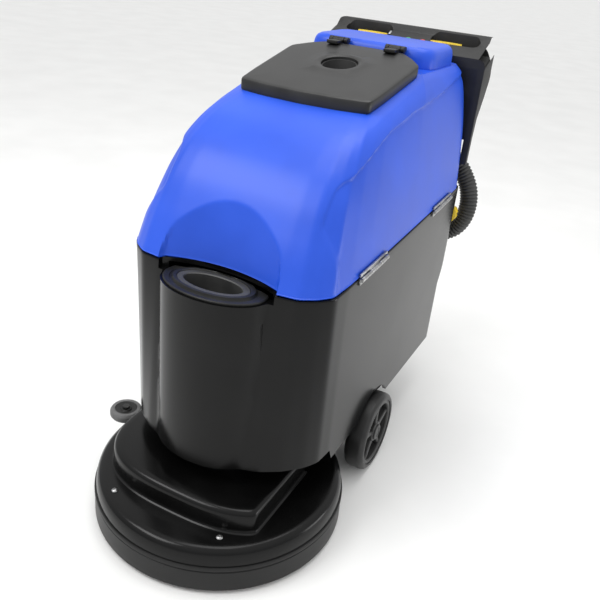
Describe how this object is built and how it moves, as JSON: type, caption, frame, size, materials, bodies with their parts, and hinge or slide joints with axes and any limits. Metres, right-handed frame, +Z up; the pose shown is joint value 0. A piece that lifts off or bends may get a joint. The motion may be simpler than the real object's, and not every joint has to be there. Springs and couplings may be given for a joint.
{
  "type": "wet dry floor scrubber",
  "caption": "Walk-behind floor scrubber: round brush deck, black solution tank, tilting blue recovery tank with lid, two wheels, casters, handle console and suction hose.",
  "frame": {"origin": "on the floor under the brush spindle, at the pad driver's centre lock", "axes": "+Y runs from the brush deck back to the operator's handle, +Z up, +X to the operator's left"},
  "size_m": [0.596, 1.193, 0.998],
  "materials": {
    "blue_plastic": "satin rotomoulded polyethylene",
    "black_gloss": "glossy black rotomoulded polyethylene",
    "black_plastic": "satin",
    "lid_plastic": "satin",
    "console_plastic": "textured satin",
    "panel_plastic": "satin",
    "grey_plastic": "satin",
    "hub_plastic": "satin",
    "rubber": "matte",
    "skirt_rubber": "satin",
    "hose_rubber": "satin corrugated",
    "grey_rubber": "matte",
    "tyre": "solid rubber",
    "yellow_plastic": "glossy",
    "green_plastic": "glossy",
    "red_plastic": "glossy",
    "steel": "black painted steel",
    "zinc": "zinc plated",
    "motor_paint": "painted",
    "pad_fibre": "open fibre pad"
  },
  "bodies": {
    "root": {"solution_tank": "black_gloss", "filler_ring": "black_plastic", "chassis_plate": "steel", "axle": "steel", "axle_bracket_left": "steel", "axle_bracket_right": "steel", "battery_front": "grey_plastic", "battery_rear": "grey_plastic", "control_box": "black_plastic", "support_column": "console_plastic", "console": "console_plastic", "control_panel": "panel_plastic", "seam_hinge_front": "zinc", "seam_hinge_rear": "zinc", "suction_hose": "hose_rubber", "hose_elbow": "black_plastic", "hose_stub": "black_plastic"},
    "recovery": {"recovery_tank": "blue_plastic", "tank_leaf_front": "zinc", "tank_leaf_rear": "zinc", "vacuum_motor": "motor_paint", "float_cage": "grey_plastic", "lid_hinge_left": "black_plastic", "lid_hinge_right": "black_plastic", "catch_keeper": "zinc"},
    "lid": {"lid": "lid_plastic", "lid_cup": "rubber", "lid_seal": "rubber"},
    "basket": {"strainer_basket": "grey_plastic"},
    "catch": {"catch_lever": "zinc"},
    "deck": {"deck_cover": "black_gloss", "splash_skirt": "skirt_rubber", "brush_motor": "motor_paint", "gearbox": "motor_paint", "bumper_bracket": "steel", "deck_screw_left": "zinc", "deck_screw_right": "zinc"},
    "brush": {"pad_driver": "grey_plastic", "floor_pad": "pad_fibre", "pad_lock": "grey_plastic"},
    "bumper_roller": {"bumper_tyre": "grey_rubber", "bumper_hub": "black_plastic"},
    "wheel_left": {"tyre_left": "tyre", "wheel_hub_left": "hub_plastic"},
    "wheel_right": {"tyre_right": "tyre", "wheel_hub_right": "hub_plastic"},
    "caster_left": {"caster_fork_left": "zinc"},
    "caster_left_wheel": {"caster_wheel_left": "rubber"},
    "caster_right": {"caster_fork_right": "zinc"},
    "caster_right_wheel": {"caster_wheel_right": "rubber"},
    "lift_frame": {"lift_frame": "steel"},
    "pedal": {"lift_pedal": "steel"},
    "squeegee": {"squeegee_hanger": "steel"},
    "trigger_left": {"trigger_left": "yellow_plastic"},
    "trigger_right": {"trigger_right": "yellow_plastic"},
    "key": {"key_switch": "zinc"},
    "button_brush": {"button_brush": "green_plastic"},
    "button_vacuum": {"button_vacuum": "red_plastic"},
    "valve": {"valve_knob": "yellow_plastic"}
  },
  "joints": [
    {"name": "pedal_press", "type": "hinge", "parent": "root", "child": "pedal", "pos_m": [0, 0.75, 0.15], "axis": [-1, 0, 0], "range_deg": [0, 25]},
    {"name": "deck_lift", "type": "slide", "parent": "root", "child": "deck", "axis": [0, 0, 1], "range_m": [0, 0.02]},
    {"name": "lift_frame_swing", "type": "hinge", "parent": "root", "child": "lift_frame", "pos_m": [0, 0.2, 0.141], "axis": [-1, 0, 0], "range_deg": [0, 12.5]},
    {"name": "brush_spin", "type": "hinge", "parent": "deck", "child": "brush", "pos_m": [0, 0, 0.03], "axis": [0, 0, 1], "continuous": true},
    {"name": "bumper_spin", "type": "hinge", "parent": "deck", "child": "bumper_roller", "pos_m": [-0.278, 0.004, 0.1245], "axis": [0, 0, 1], "continuous": true},
    {"name": "wheel_left_spin", "type": "hinge", "parent": "root", "child": "wheel_left", "pos_m": [0.234, 0.313, 0.1], "axis": [1, 0, 0], "continuous": true},
    {"name": "wheel_right_spin", "type": "hinge", "parent": "root", "child": "wheel_right", "pos_m": [-0.234, 0.313, 0.1], "axis": [1, 0, 0], "continuous": true},
    {"name": "caster_left_swivel", "type": "hinge", "parent": "root", "child": "caster_left", "pos_m": [0.13, 0.62, 0.14], "axis": [0, 0, 1], "continuous": true},
    {"name": "caster_left_spin", "type": "hinge", "parent": "caster_left", "child": "caster_left_wheel", "pos_m": [0.13, 0.65, 0.05], "axis": [1, 0, 0], "continuous": true},
    {"name": "caster_right_swivel", "type": "hinge", "parent": "root", "child": "caster_right", "pos_m": [-0.13, 0.62, 0.14], "axis": [0, 0, 1], "continuous": true},
    {"name": "caster_right_spin", "type": "hinge", "parent": "caster_right", "child": "caster_right_wheel", "pos_m": [-0.13, 0.65, 0.05], "axis": [1, 0, 0], "continuous": true},
    {"name": "tank_tilt", "type": "hinge", "parent": "root", "child": "recovery", "pos_m": [0.238, 0.158, 0.60007], "axis": [0, 0.9993, 0.037], "range_deg": [0, 75]},
    {"name": "lid_open", "type": "hinge", "parent": "recovery", "child": "lid", "pos_m": [0, 0.55, 0.97256], "axis": [-1, 0, 0], "range_deg": [0, 80]},
    {"name": "basket_lift", "type": "slide", "parent": "root", "child": "basket", "axis": [0, 0, 1], "range_m": [0, 0.11]},
    {"name": "catch_release", "type": "hinge", "parent": "root", "child": "catch", "pos_m": [-0.238, 0.38, 0.59228], "axis": [0, -1, 0], "range_deg": [0, 60]},
    {"name": "trigger_left_squeeze", "type": "hinge", "parent": "root", "child": "trigger_left", "pos_m": [0.105, 0.8466, 0.965], "axis": [-1, 0, 0], "range_deg": [0, 12], "stiffness_Nm_per_rad": 0.5},
    {"name": "trigger_right_squeeze", "type": "hinge", "parent": "root", "child": "trigger_right", "pos_m": [-0.105, 0.8466, 0.965], "axis": [-1, 0, 0], "range_deg": [0, 12], "stiffness_Nm_per_rad": 0.5},
    {"name": "key_turn", "type": "hinge", "parent": "root", "child": "key", "pos_m": [-0.04, 0.813, 0.96404], "axis": [0, -0.4315, 0.9021], "range_deg": [0, 70]},
    {"name": "button_brush_press", "type": "slide", "parent": "root", "child": "button_brush", "axis": [0, 0.4315, -0.9021], "range_m": [0, 0.0015], "stiffness_N_per_m": 200},
    {"name": "button_vacuum_press", "type": "slide", "parent": "root", "child": "button_vacuum", "axis": [0, 0.4315, -0.9021], "range_m": [0, 0.0015], "stiffness_N_per_m": 200},
    {"name": "valve_turn", "type": "hinge", "parent": "root", "child": "valve", "pos_m": [0.205, 0.819, 0.531], "axis": [0, 1, 0], "range_deg": [0, 90]},
    {"name": "squeegee_hanger_lift", "type": "hinge", "parent": "root", "child": "squeegee", "pos_m": [0, 0.75, 0.128], "axis": [1, 0, 0], "range_deg": [0, 20]}
  ],
  "couplings": [
    {"joint": "pedal_press", "follows": "deck_lift", "rad_per_m": 21.817},
    {"joint": "lift_frame_swing", "follows": "deck_lift", "rad_per_m": 10.472}
  ]
}
